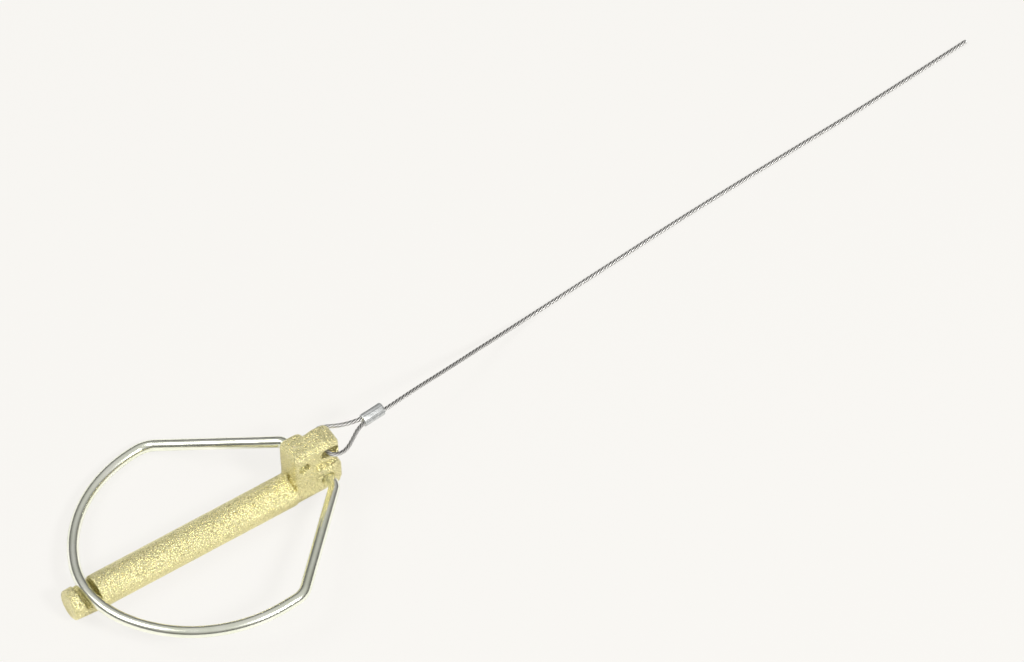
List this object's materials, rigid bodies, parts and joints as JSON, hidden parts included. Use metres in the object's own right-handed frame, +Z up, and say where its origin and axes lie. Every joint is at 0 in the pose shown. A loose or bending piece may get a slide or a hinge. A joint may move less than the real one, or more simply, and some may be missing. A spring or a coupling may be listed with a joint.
{
  "type": "lynch pin",
  "caption": "Forged locking pin with a D-shaped spring ring that snaps over the tip and a thin wire-rope lanyard crimped through an ear in the head",
  "frame": {"origin": "on the shank's axis at the shoulder, where the round shank meets the head", "axes": "X along the shank with the head at +X and the tip at -X, Z up, the part lying as it comes to rest on its shank and on the back side of its ring"},
  "size_m": [0.3874, 0.0888, 0.0286],
  "materials": {
    "forged_pin": "drop-forged grain under pale yellow zinc plating",
    "spring_ring": "bright zinc-plated spring wire, smooth",
    "wire_rope": "galvanised stranded wire",
    "ferrule": "plain, crimped"
  },
  "bodies": {
    "pin": {"forged_pin": "forged_pin", "wire_rope": "wire_rope", "ferrule": "ferrule"},
    "ring": {"spring_ring": "spring_ring"}
  },
  "joints": [
    {"name": "ring_swing", "type": "hinge", "parent": "pin", "child": "ring", "pos_m": [0.0126, 0.00029, 0.00278], "axis": [0, 0.9945, -0.1045], "range_deg": [0, 175], "deforming": ["spring_ring"]}
  ]
}
